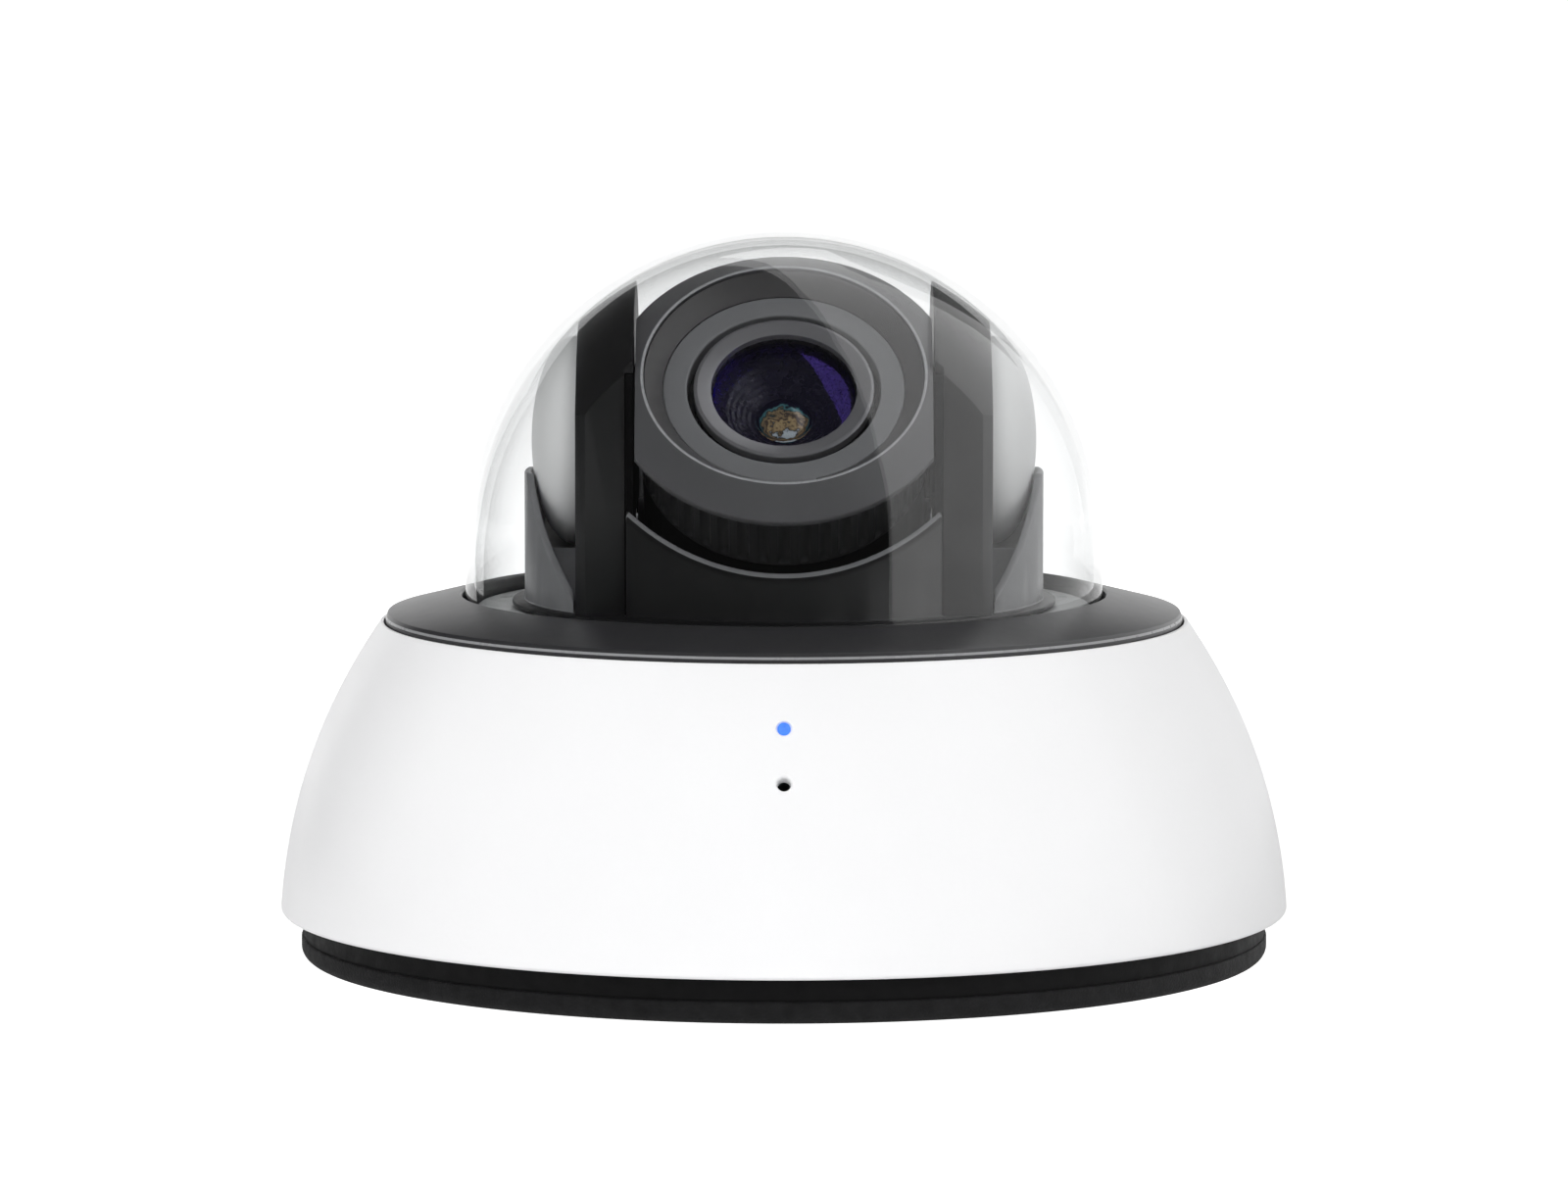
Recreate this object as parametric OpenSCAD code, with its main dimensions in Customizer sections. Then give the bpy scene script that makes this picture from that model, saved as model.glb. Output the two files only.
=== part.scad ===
// Indoor dome security camera: wide round cover, clear bubble, and a lens
// module that pans, tilts and rolls inside it. Origin at the centre of the
// underside, +Z up, lens looking towards -Y and 45 degrees up.

/* [Cover] */
// Outer radius of the cover at its bottom edge
cover_r = 70.05; // [66:0.05:90]
// Height of the cover's bottom edge above the mounting surface
cover_z0 = 6.3; // [5:0.1:8]
// Height of the cover's top edge
cover_top_z = 46.6; // [44:0.1:60]
// Radius of the arc that crowns the cover's side
crown_r = 76.85; // [70:0.05:120]
// Wall thickness of the cover
cover_wall = 2.2; // [1.6:0.1:2.8]
// Height of the status light hole
led_z = 38.7; // [36:0.1:42]
// Height of the microphone hole
mic_z = 31.7; // [28:0.1:34]
// Radius of the status light and microphone holes
pin_hole_r = 0.9; // [0.7:0.05:1.2]

/* [Bubble and trim ring] */
// Outer radius of the clear bubble
bubble_r = 44.23; // [42:0.01:54]
// Wall thickness of the bubble
bubble_wall = 1.2; // [0.8:0.1:1.2]
// Height of the bubble's centre above the cover's top edge
bubble_rise = 9.66; // [9:0.01:14]
// Gap between the bubble and the trim ring's opening
trim_gap = 0.47; // [0.3:0.01:1]
// Radial width of the trim ring
trim_w = 10.62; // [9:0.01:14]
// Height of the trim ring's opening edge above the cover's top edge
trim_rise = 3.8; // [3.4:0.1:5]

/* [Base] */
// Height of the rubber base gasket
gasket_h = 3.1; // [2.5:0.1:4]
// Thickness of the base tray's floor
floor_t = 2.2; // [1.8:0.1:3]
// Radius of the circle of the four mounting holes
mount_circle_r = 45; // [43:0.5:48]
// Radius of a mounting hole
mount_hole_r = 2.25; // [1.5:0.05:2.75]
// Radius of the cable hole in the grommet
cable_hole_r = 3.2; // [2.5:0.1:4]
// Thickness of the main circuit board
board_t = 1.6; // [1:0.1:2]

/* [Pan and tilt] */
// Height of the tilt axis above the cover's top edge
tilt_rise = 10.4; // [10:0.1:12]
// Outer radius of the pan drum
drum_r = 34; // [33:0.1:34.5]
// Wall thickness of the pan drum
drum_wall = 1.2; // [1:0.1:1.4]
// Radius of the turntable flange
flange_r = 37.7; // [37:0.1:39]
// Half the distance between the arms' inner faces
arm_in = 21.7; // [21.6:0.1:23]
// Thickness of one arm
arm_t = 6.7; // [6:0.1:7.5]
// Radius of a tilt pin
tilt_pin_r = 4.5; // [4:0.1:4.8]

/* [Lens module] */
// Lens elevation at rest, in degrees
lens_tilt = 45; // [43:1:50]
// Distance from the tilt axis to the front edge of the shroud
front_s = 36.5; // [36:0.1:37.5]
// Outer radius of the shroud
shroud_r = 23.7; // [23:0.1:24]
// Radius of the shroud's front edge
lip_r = 19.4; // [19:0.1:20]
// Half the width between the shroud's flat sides
flat_x = 20.2; // [19.9:0.05:20.3]
// Radius of the knurled ring over its ribs
knurl_r = 19.7; // [19.3:0.1:19.9]
// Radius of the lens barrel
barrel_r = 12; // [11:0.1:12.4]
// Number of ribs around the knurled ring
rib_count = 44; // [30:1:50]

/* [Hidden] */
$fn = 96;

// Small allowances shared by the fits
run_gap = 0.05;
gap = 0.3;
cut = 0.5;
big = 400;

// Cover outline: an arc through its bottom and top edges
trim_in = bubble_r + trim_gap;
trim_r = trim_in + trim_w;
cover_top_r = trim_r + 0.7;
chord = [cover_top_r - cover_r, cover_top_z - cover_z0];
chord_len = norm(chord);
sagitta_leg = sqrt(crown_r * crown_r - chord_len * chord_len / 4);
arc_x = (cover_r + cover_top_r) / 2 - sagitta_leg * chord[1] / chord_len;
arc_z = (cover_z0 + cover_top_z) / 2 + sagitta_leg * chord[0] / chord_len;
function cover_r_at(z) = arc_x + sqrt(crown_r * crown_r - (z - arc_z) * (z - arc_z));
function cover_in_at(z) = arc_x + sqrt(pow(crown_r - cover_wall, 2) - (z - arc_z) * (z - arc_z));

// Base levels, from the mounting surface up; the tray's wall stands just inside the cover
gasket_r = cover_r - cover_wall - 0.65;
gasket_w = 9;
gasket_round = 1.5;
tray_top = cover_z0 + 3.7;
tray_r = cover_in_at(tray_top) - 0.65;
tray_wall = 2;
floor_z = gasket_h;
floor_top = floor_z + floor_t;
standoff_h = 4;
board_z = floor_top + standoff_h;
board_top = board_z + board_t;
board_r = tray_r - tray_wall - 8.9;

// Cover screws stand in the rear half
screw_circle_r = tray_r - 5.9;
screw_angles = [15, 100, 165];
screw_tube_r = 5;
screw_seat_z = floor_top + 8.7;

// Bubble and its clamp, from the cover's top edge down
bubble_in = bubble_r - bubble_wall;
bubble_z = cover_top_z + bubble_rise;
rib_z = cover_top_z + 0.4;
seal_t = 0.7;
bubble_flange_t = 1.3;
bubble_flange_z = rib_z - seal_t - bubble_flange_t;
bubble_flange_r = bubble_r + 7.2;
retainer_t = 1.6;
retainer_z = bubble_flange_z - retainer_t;
clamp_r = bubble_r + 4.2;
ledge_z = cover_top_z - 1.2;
ledge_t = 1.6;
ledge_in = bubble_flange_r + 0.6;
trim_screw_r = ledge_in + 1.35;
clamp_angles = [0:60:300];
rebate_gap = 0.25;
trim_top_z = cover_top_z + trim_rise;
trim_edge_z = cover_top_z + 1.3;

// Chassis and turntable
deck_r = bubble_in - 0.6;
deck_top = cover_top_z + 2;
deck_t = 2;
flange_z = deck_top + gap;
flange_top = flange_z + 0.8;
deck_hole_r = flange_r - 1.3;
chassis_in = drum_r + 1.2;
chassis_out = chassis_in + 1.8;
chassis_z = board_top + 4.6;
chassis_t = 2;
leg_r = 4;
leg_circle_r = chassis_out + leg_r - 1.5;
leg_top = bubble_flange_z - gap;
leg_angles = [30, 150, 270];

// Tilt axis and the cup that the module swings in
tilt_z = cover_top_z + tilt_rise;
cup_depth = 32;
cup_floor_top = tilt_z - cup_depth;
cup_floor_z = cup_floor_top - 1.6;
hub_r = 8;
hub_hole_r = 3.2;
bush_r = 10.6;
bush_top = cup_floor_z - 0.8;
nut_t = 1.6;
hub_z = chassis_z - 0.2 - nut_t;
harness_r = 1.2;
harness_meet_z = chassis_z + 0.5;

// Arms
arm_out = arm_in + arm_t;
arm_mid = arm_in + arm_t / 2;
arm_y = 25.5;
arm_chamfer = 1.4;
arm_screw_y = 17;
arm_sphere_r = bubble_in - 0.4;
liner_in = flat_x + gap;
liner_y = 24.5;
liner_top = tilt_z + 25.6;
cavity_r = 5.2;
cavity_x = arm_out - 0.9;
pin_end = cavity_x - 3.3;
channel_x = cavity_x - 1.8;

// Lens module, measured along the lens axis from the tilt axis
cone_s = front_s - 2.9;
skirt_s = front_s - 5.5;
window_s = front_s - 0.4;
face_s = front_s - 3.1;
bezel_s = front_s - 2.9;
knurl_front = front_s - 7.5;
knurl_back = front_s - 17.3;
skirt_r = lip_r + 0.9;
window_in = lip_r - 2.9;
face_in = barrel_r + 1.15;
journal_r = 17;
carrier_wall = 1.6;
carrier_in = journal_r - carrier_wall;
carrier_back = 6;
carrier_front = knurl_back + 3.8;
housing_r = 19.4;
housing_back = -7;
arch_in = knurl_r + 0.7;
arch_out = shroud_r - 0.3;
arch_floor = 8;
sensor_s = 7;
sensor_t = 1.4;
filter_s = 10.4;
filter_t = 2.8;
barrel_back = filter_s + filter_t;
glass_r = 9.7;
iris_r = 3.9;
iris_s = bezel_s - 8.4;
cone_back = bezel_s - 7.2;
pocket_s = bezel_s - 4.6;

// Ring about Z between two radii and two heights
module ring(r_in, r_out, z0, z1) {
    difference() {
        translate([0, 0, z0]) cylinder(r = r_out, h = z1 - z0);
        translate([0, 0, z0 - cut]) cylinder(r = r_in, h = z1 - z0 + 2 * cut);
    }
}

module disc(r, z0, z1) {
    translate([0, 0, z0]) cylinder(r = r, h = z1 - z0);
}

// Box about the Z axis between two heights
module block(wx, wy, z0, z1) {
    translate([-wx / 2, -wy / 2, z0]) cube([wx, wy, z1 - z0]);
}

module around(angles, r) {
    for (a = angles) {
        rotate([0, 0, a]) translate([r, 0, 0]) children();
    }
}

// Lens frame: +Z along the lens axis, +Y towards the module's top
module lens_frame() {
    translate([0, 0, tilt_z]) rotate([90 - lens_tilt, 0, 0]) children();
}

// Front board frame: +Z square to the cover between its two small holes
front_mid_z = (led_z + mic_z) / 2;
front_lean = asin((front_mid_z - arc_z) / crown_r);
front_reach = norm([led_z - mic_z, cover_r_at(led_z) - cover_r_at(mic_z)]) / 2;
module front_frame() {
    translate([0, -cover_r_at(front_mid_z), front_mid_z]) rotate([90 - front_lean, 0, 0]) children();
}

// Screw standing on Z with its head's top at z = 0
module screw(head_r, head_h, shank_r, len) {
    difference() {
        union() {
            disc(head_r, -head_h, 0);
            disc(shank_r, -len, -head_h);
        }
        translate([0, 0, -head_h * 0.6]) cylinder(r = head_r * 0.5, h = head_h, $fn = 6);
    }
}

// ---- Base ----
module base_gasket() {
    color("#1b1b1c") rotate_extrude() {
        translate([gasket_r - gasket_w, 0]) square([gasket_w - gasket_round, gasket_h]);
        translate([gasket_r - gasket_w, gasket_round]) square([gasket_w, gasket_h - gasket_round]);
        translate([gasket_r - gasket_round, gasket_round]) circle(r = gasket_round);
    }
}

grommet_pos = [-24, 44];
grommet_r = 8;
module base_tray() {
    color("#101011") difference() {
        union() {
            disc(tray_r, floor_z, floor_top);
            ring(tray_r - tray_wall, tray_r, floor_z, tray_top);
            around(screw_angles, screw_circle_r) disc(4, floor_top - cut, screw_seat_z);
            around(leg_angles, leg_circle_r) disc(leg_r, floor_top - cut, board_z - 1);
        }
        around(screw_angles, screw_circle_r) disc(1.5, floor_z + 1, screw_seat_z + cut);
        around(leg_angles, leg_circle_r) disc(1.5, floor_z - cut, board_z);
        around(leg_angles, leg_circle_r) disc(3, floor_z - cut, floor_z + 1.3);
        around([45, 135, 225, 315], mount_circle_r) disc(mount_hole_r, floor_z - cut, floor_top + cut);
        translate(grommet_pos) disc(grommet_r, floor_z - cut, floor_top + cut);
    }
}

// Rubber grommet clamped around the edge of its hole
module cable_grommet() {
    color("#222222") translate(grommet_pos) difference() {
        union() {
            disc(grommet_r, floor_z, floor_top);
            disc(grommet_r + 1.6, floor_top, floor_top + 1.6);
            disc(grommet_r - 2, floor_z - 1.6, floor_z);
            translate([0, 0, floor_top + 1.6]) cylinder(r1 = 6, r2 = 4.6, h = 4);
        }
        disc(cable_hole_r, floor_z - 2, floor_top + 6);
    }
}

standoff_angles = [0, 50, 140, 180, 245, 295];
standoff_circle_r = board_r - 4;
module board_standoffs() {
    color("#b79a5a") around(standoff_angles, standoff_circle_r) difference() {
        disc(2.5, floor_top, board_z);
        disc(1, floor_top + 1, board_z + cut);
    }
}

module main_board() {
    color("#1f5a3a") difference() {
        disc(board_r, board_z, board_top);
        around(leg_angles, leg_circle_r) disc(leg_r + 0.6, board_z - cut, board_top + cut);
        around([45, 135, 225, 315], mount_circle_r) disc(4, board_z - cut, board_top + cut);
        around(standoff_angles, standoff_circle_r) disc(1.2, board_z - cut, board_top + cut);
        translate(grommet_pos) disc(grommet_r + 2.6, board_z - cut, board_top + cut);
    }
}

module board_screws() {
    color("silver") around(standoff_angles, standoff_circle_r) {
        translate([0, 0, board_top + 1.4]) screw(2, 1.4, 0.95, 5.2);
    }
}

// Network socket lying along X, its mouth facing the grommet
jack = [21, 16, 13.4];
jack_pos = [12, 48];
module ethernet_jack() {
    corner = [jack_pos[0] - jack[0] / 2, jack_pos[1] - jack[1] / 2, board_top];
    color("#b9bcc0") translate(corner) difference() {
        cube(jack);
        translate([-cut, (jack[1] - 11.8) / 2, 2.4]) cube([13 + cut, 11.8, 6.8]);
        translate([-cut, (jack[1] - 6) / 2, 9]) cube([13 + cut, 6, 2.6]);
    }
}

chip_pos = [20, -18];
module processor() {
    color("#26272a") translate(chip_pos) block(14, 14, board_top, board_top + 1.6);
}

module thermal_pad() {
    color("#8d97a3") translate(chip_pos) block(13, 13, board_top + 1.6, chassis_z);
}

slot_pos = [42, -13.5];
module memory_slot() {
    color("#a9adb2") translate(slot_pos) difference() {
        block(14, 15, board_top, board_top + 2);
        translate([1, 0, 0]) block(15, 11.4, board_top + 0.5, board_top + 1.5);
    }
}

module memory_card() {
    color("#17181a") translate([slot_pos[0] + 1.5, slot_pos[1], board_top]) block(15, 11, 0.6, 1.3);
}

module board_parts() {
    color("#3a3633") {
        translate([-20, -20]) block(8, 8, board_top, board_top + 3);
        translate([-32, -4]) block(5, 9, board_top, board_top + 2.4);
        translate([8, -30]) block(6, 4, board_top, board_top + 1.8);
        translate([24, 12]) block(10, 6, board_top, board_top + 2);
        translate([-14, 18]) block(7, 5, board_top, board_top + 2.6);
    }
    color("#9c9ea2") for (x = [-44, -36]) {
        translate([x, -24]) disc(3.2, board_top, board_top + 7.5);
    }
    color("#c9a24b") for (i = [0:5]) {
        translate([-10 + 4 * i, -46]) block(2, 1.2, board_top, board_top + 0.9);
    }
}

reset_pos = [-46, 10];
module reset_switch() {
    color("#2b2b2b") translate(reset_pos) difference() {
        block(6, 6, board_top, board_top + 3.5);
        disc(1.7, board_top + 1, board_top + 4);
    }
}

module reset_button() {
    color("#b33a2e") translate(reset_pos) disc(1.65, board_top + 1.4, board_top + 5);
}

plug_h = 2.1;
module harness_plug() {
    color("#e6e0cf") block(9, 5, board_top, board_top + plug_h);
}

module base_harness() {
    color("#2f3136") disc(harness_r, board_top + plug_h, harness_meet_z);
}

// Die-cast tower that carries the turntable, with the deck seen in the bubble
deck_screw_angles = [15, 165, 195, 345];
module chassis() {
    color("#b8bab9") difference() {
        union() {
            ring(deck_hole_r, deck_r, deck_top - deck_t, deck_top);
            ring(chassis_in, chassis_out, chassis_z, deck_top - deck_t + 0.1);
            ring(deck_hole_r - 1.4, deck_r - 1.2, deck_top - deck_t - 1.6, deck_top - deck_t + 0.1);
            disc(chassis_out, chassis_z, chassis_z + chassis_t);
            disc(bush_r + 2.4, chassis_z, bush_top);
            around(leg_angles, leg_circle_r) disc(leg_r, board_z - 1, leg_top);
            front_frame() block(8, 10, -30, -9.6);
        }
        disc(bush_r, chassis_z - cut, bush_top + cut);
        difference() {
            disc(chassis_in, chassis_z + chassis_t, deck_top - deck_t - 1.6);
            disc(bush_r + 2.4, chassis_z, bush_top);
        }
        around(leg_angles, leg_circle_r) disc(1.5, board_z - 2, board_z + 10);
        around(deck_screw_angles, deck_r - 2.3) disc(1, deck_top - 1.2, deck_top + cut);
    }
}

module chassis_screws() {
    color("silver") around(leg_angles, leg_circle_r) {
        translate([0, 0, floor_z]) rotate([180, 0, 0]) screw(2.8, 1.3, 1.45, 14);
    }
}

module pan_bush() {
    color("#e9e7df") difference() {
        union() {
            disc(bush_r, chassis_z, bush_top);
            disc(bush_r + 2.2, bush_top, cup_floor_z - 0.2);
        }
        disc(hub_r + run_gap, chassis_z - cut, cup_floor_z);
    }
}

// ---- Status light and microphone, behind the cover's front ----
module front_board() {
    color("#1f5a3a") front_frame() block(12, 20, -9.6, -8.4);
}

module status_led() {
    color("#e8f0ff") front_frame() translate([0, front_reach, 0]) block(3, 2.4, -8.4, -7);
}

module light_pipe() {
    color("#7fb4ff") front_frame() translate([0, front_reach, 0]) {
        disc(pin_hole_r - 0.05, -6.8, -0.35);
        disc(1.9, -3.9, -2.9);
    }
}

module microphone() {
    color("#c8b273") front_frame() translate([0, -front_reach, 0]) block(4, 3, -8.4, -7.3);
}

module mic_boot() {
    color("#2a2a2a") front_frame() translate([0, -front_reach, 0]) ring(pin_hole_r, 1.9, -7.3, -2.9);
}

// ---- Cover, trim ring and bubble ----
// Room for the cover's screw wells beside the clamped parts
module well_relief() {
    around(screw_angles, screw_circle_r) disc(screw_tube_r + gap, retainer_z - cut, rib_z + cut);
}

module cover_arc(inset) {
    intersection() {
        translate([arc_x, arc_z]) circle(r = crown_r - inset, $fn = 360);
        translate([0, cover_z0]) square([big, cover_top_z - cover_z0]);
    }
}

module outer_cover() {
    color("#f4f5f6") difference() {
        union() {
            rotate_extrude($fn = 180) difference() {
                cover_arc(0);
                cover_arc(cover_wall);
            }
            ring(ledge_in, cover_top_r - 0.6, ledge_z - ledge_t, ledge_z);
            intersection() {
                around(screw_angles, screw_circle_r) {
                    ring(screw_tube_r - 1.4, screw_tube_r, screw_seat_z, cover_top_z);
                }
                rotate_extrude($fn = 180) cover_arc(0.4);
            }
            around(screw_angles, screw_circle_r) disc(screw_tube_r - 1, screw_seat_z, screw_seat_z + 2);
        }
        around(screw_angles, screw_circle_r) {
            disc(1.9, screw_seat_z - cut, cover_top_z);
            disc(screw_tube_r - 1.4, screw_seat_z + 2, cover_top_z);
        }
        around(clamp_angles, trim_screw_r) disc(0.85, ledge_z - ledge_t - cut, ledge_z + cut);
        disc(trim_r + rebate_gap, ledge_z, cover_top_z + cut);
        front_frame() {
            for (side = [-1, 1]) {
                translate([0, side * front_reach, 0]) disc(pin_hole_r, -5, 5);
            }
        }
    }
}

module cover_screws() {
    color("#c4c6c9") around(screw_angles, screw_circle_r) {
        translate([0, 0, screw_seat_z + 4.4]) screw(3.2, 2.4, 1.45, 14);
    }
}

module trim_ring() {
    top_skin = 1.5;
    outer_wall = trim_r - ledge_in - 0.2;
    color("#3a3a3c") difference() {
        rotate_extrude($fn = 180) {
            polygon([
                [trim_in, trim_top_z - 0.3],
                [trim_in + 0.3, trim_top_z],
                [trim_r - 0.32, trim_edge_z],
                [trim_r, trim_edge_z - 0.8],
                [trim_r, ledge_z],
                [trim_r - outer_wall, ledge_z],
                [trim_r - outer_wall, rib_z],
                [clamp_r - 2, rib_z],
                [trim_in, trim_top_z - top_skin]
            ]);
        }
        around(clamp_angles, trim_screw_r) disc(0.7, ledge_z - cut, ledge_z + 2);
        around(clamp_angles, clamp_r) disc(0.8, rib_z - cut, rib_z + 1.4);
    }
}

module trim_screws() {
    color("silver") around(clamp_angles, trim_screw_r) {
        translate([0, 0, ledge_z - ledge_t - 1]) rotate([180, 0, 0]) screw(1.3, 1, 0.7, 4);
    }
}

module bubble() {
    color([0.9, 0.95, 1, 0.25]) difference() {
        union() {
            rotate_extrude() intersection() {
                difference() {
                    translate([0, bubble_z]) circle(r = bubble_r, $fn = 360);
                    translate([0, bubble_z]) circle(r = bubble_in, $fn = 360);
                }
                translate([0, bubble_z]) square([big, big]);
            }
            ring(bubble_in, bubble_r, bubble_flange_z, bubble_z);
            ring(bubble_in, bubble_flange_r, bubble_flange_z, bubble_flange_z + bubble_flange_t);
        }
        around(clamp_angles, clamp_r) disc(1.1, bubble_flange_z - cut, bubble_flange_z + 2);
        well_relief();
    }
}

module bubble_seal() {
    color("#202021") difference() {
        ring(clamp_r - 2, clamp_r + 2, rib_z - seal_t, rib_z);
        around(clamp_angles, clamp_r) disc(1.1, rib_z - seal_t - cut, rib_z + cut);
        well_relief();
    }
}

module bubble_retainer() {
    color("#9fa2a5") difference() {
        ring(clamp_r - 2.4, bubble_flange_r, retainer_z, bubble_flange_z);
        around(clamp_angles, clamp_r) disc(0.95, retainer_z - cut, bubble_flange_z + cut);
        well_relief();
    }
}

module retainer_screws() {
    color("silver") around(clamp_angles, clamp_r) {
        translate([0, 0, retainer_z - 1]) rotate([180, 0, 0]) screw(1.7, 1, 0.8, 5.6);
    }
}

// ---- Pan: drum, cup, turntable flange and arms ----
shelf_t = 1.6;
shelf_x = arm_in - 0.9;
foot_out = flange_r - 1.7;
foot_in = arm_out + 0.3;
foot_top = tilt_z + 10.4;
foot_crest_y = 5.5;
foot_shoulder_z = foot_top - (foot_out - foot_crest_y);
wall_x = arm_in - 0.25;
rim_s = front_s - 13.8;
rear_top = tilt_z + 2;
post_top = tilt_z + 11;
post_x = 17.5;
cradle_top = tilt_z + 9;
cradle_front = -6;
cradle_back = 16;
module pan_frame() {
    color("#2b2b2d") difference() {
        union() {
            disc(drum_r, cup_floor_z, flange_top);
            disc(flange_r, flange_z, flange_top);
            disc(hub_r, hub_z, cup_floor_z + cut);
            // Front wall, cut along the lens module's rim plane
            intersection() {
                ring(drum_r - drum_wall, drum_r, flange_top - cut, tilt_z + 12);
                translate([-wall_x, -big, 0]) cube([2 * wall_x, big, big]);
                lens_frame() translate([0, 0, rim_s - big]) block(big, big, 0, big);
            }
            // Low rear wall with a taller post at each end
            intersection() {
                ring(drum_r - drum_wall, drum_r, flange_top - cut, post_top);
                difference() {
                    translate([-wall_x, 0, 0]) cube([2 * wall_x, big, big]);
                    translate([-post_x, 0, rear_top]) cube([2 * post_x, big, big]);
                }
            }
            // Cradles under the side caps, between the arms and the feet
            intersection() {
                disc(foot_out - 0.5, flange_top - cut, cradle_top);
                difference() {
                    translate([-big / 2, cradle_front, 0]) cube([big, cradle_back - cradle_front, big]);
                    block(2 * foot_in, big, 0, big);
                    translate([-big / 2, 0, cap_z]) rotate([0, 90, 0]) disc(cap_r + 1.2, 0, big);
                }
            }
            // Side feet with sloping shoulders
            intersection() {
                ring(foot_out - 1, foot_out, flange_top - cut, foot_top);
                difference() {
                    block(big, big, 0, big);
                    block(2 * foot_in, big, 0, big);
                }
                rotate([90, 0, 90]) linear_extrude(big, center = true) polygon([
                    [-foot_out, flange_z],
                    [foot_out, flange_z],
                    [foot_out, foot_shoulder_z],
                    [foot_crest_y, foot_top],
                    [-foot_crest_y, foot_top],
                    [-foot_out, foot_shoulder_z]
                ]);
            }
        }
        // Cup, open between the arms
        disc(drum_r - drum_wall, cup_floor_top, flange_top - shelf_t);
        intersection() {
            disc(drum_r - drum_wall, flange_top - shelf_t - cut, flange_top + cut);
            block(2 * shelf_x, big, 0, big);
        }
        disc(hub_hole_r, hub_z - cut, cup_floor_top + cut);
        for (side = [-1, 1]) {
            translate([side * channel_x, 0, 0]) disc(1.8, flange_top - shelf_t - cut, flange_top + cut);
            for (y = [-arm_screw_y, arm_screw_y]) {
                translate([side * arm_mid, y, 0]) disc(1.3, flange_top - shelf_t - cut, flange_top + cut);
            }
        }
    }
}

// One arm on the +X side, standing on the shelf
module arm() {
    difference() {
        intersection() {
            union() {
                linear_extrude(tilt_z + 50) polygon([
                    [arm_in, -arm_y],
                    [arm_out - arm_chamfer, -arm_y],
                    [arm_out, -arm_y + arm_chamfer],
                    [arm_out, arm_y - arm_chamfer],
                    [arm_out - arm_chamfer, arm_y],
                    [arm_in, arm_y]
                ]);
                translate([liner_in, -liner_y, liner_top + 0.2]) {
                    cube([arm_in - liner_in + cut, 2 * liner_y, 40]);
                }
            }
            translate([0, 0, bubble_z]) sphere(r = arm_sphere_r, $fn = 180);
            disc(big, flange_top, big);
        }
        translate([arm_in - cut, 0, tilt_z]) rotate([0, 90, 0]) disc(cavity_r, 0, cavity_x - arm_in + cut);
        translate([channel_x, 0, 0]) disc(1.8, flange_top - cut, tilt_z);
        for (y = [-arm_screw_y, arm_screw_y]) {
            translate([arm_mid, y, 0]) disc(1.1, flange_top - cut, flange_top + 7);
        }
    }
}

module arm_right() {
    color("#303032") arm();
}

module arm_left() {
    color("#303032") mirror([1, 0, 0]) arm();
}

module liner() {
    difference() {
        translate([liner_in, -liner_y, flange_top]) {
            cube([arm_in - liner_in, 2 * liner_y, liner_top - flange_top]);
        }
        translate([liner_in - cut, 0, tilt_z]) rotate([0, 90, 0]) disc(cavity_r, 0, arm_in);
        difference() {
            translate([0, 0, liner_top - big]) block(big, big, 0, 2 * big);
            translate([0, 0, bubble_z]) sphere(r = arm_sphere_r, $fn = 180);
        }
    }
}

module arm_liners() {
    color("#3b3b3d") {
        liner();
        mirror([1, 0, 0]) liner();
    }
}

// Light cover on an arm's outside, a shallow round dome
cap_z = tilt_z + 14.6;
cap_r = 14.4;
cap_bulge = 6;
cap_rim = 0.6;
module side_cap() {
    steps = 16;
    translate([arm_out, 0, cap_z]) rotate([0, 90, 0]) rotate_extrude() polygon([
        [0, 0],
        [cap_r, 0],
        for (i = [0:steps - 1]) [cap_r * cos(90 * i / steps), cap_rim + cap_bulge * sin(90 * i / steps)],
        [0, cap_rim + cap_bulge]
    ]);
}

module side_cap_right() {
    color("#c3c5c5") side_cap();
}

module side_cap_left() {
    color("#c3c5c5") mirror([1, 0, 0]) side_cap();
}

module arm_screws() {
    color("silver") for (side = [-1, 1], y = [-arm_screw_y, arm_screw_y]) {
        translate([side * arm_mid, y, flange_top - shelf_t - 1]) rotate([180, 0, 0]) screw(2, 1, 1.1, 8);
    }
}

module tilt_bush() {
    translate([liner_in, 0, tilt_z]) rotate([0, 90, 0]) {
        ring(tilt_pin_r + run_gap, cavity_r, 0, pin_end - liner_in);
    }
}

module tilt_bushes() {
    color("#e9e7df") {
        tilt_bush();
        mirror([1, 0, 0]) tilt_bush();
    }
}

module pan_lock_nut() {
    color("#b79a5a") difference() {
        translate([0, 0, hub_z]) cylinder(r = hub_r + 3.2, h = nut_t, $fn = 6);
        disc(hub_r, hub_z - cut, hub_z + 2);
    }
}

// Quarter bend in the XZ plane from +Z at the origin towards +X
module bend(r) {
    translate([r, 0, 0]) rotate([90, 0, 0]) rotate_extrude(angle = 90, start = 90) {
        translate([r, 0]) circle(r = harness_r);
    }
}

bend_r = 2.6;
run_z = cup_floor_top + 3.6;
module pan_harness() {
    color("#2f3136") {
        disc(harness_r, harness_meet_z, run_z - bend_r);
        translate([0, 0, run_z - bend_r]) bend(bend_r);
        translate([bend_r, 0, run_z]) rotate([0, 90, 0]) disc(harness_r, 0, channel_x - 2 * bend_r);
        translate([channel_x, 0, run_z + bend_r]) rotate([0, 180, 0]) bend(bend_r);
        translate([channel_x, 0, 0]) disc(harness_r, run_z + bend_r, tilt_z);
        translate([channel_x, 0, tilt_z]) sphere(r = harness_r);
        translate([liner_in, 0, tilt_z]) rotate([0, 90, 0]) disc(harness_r, 0, channel_x - liner_in);
    }
}

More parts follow.
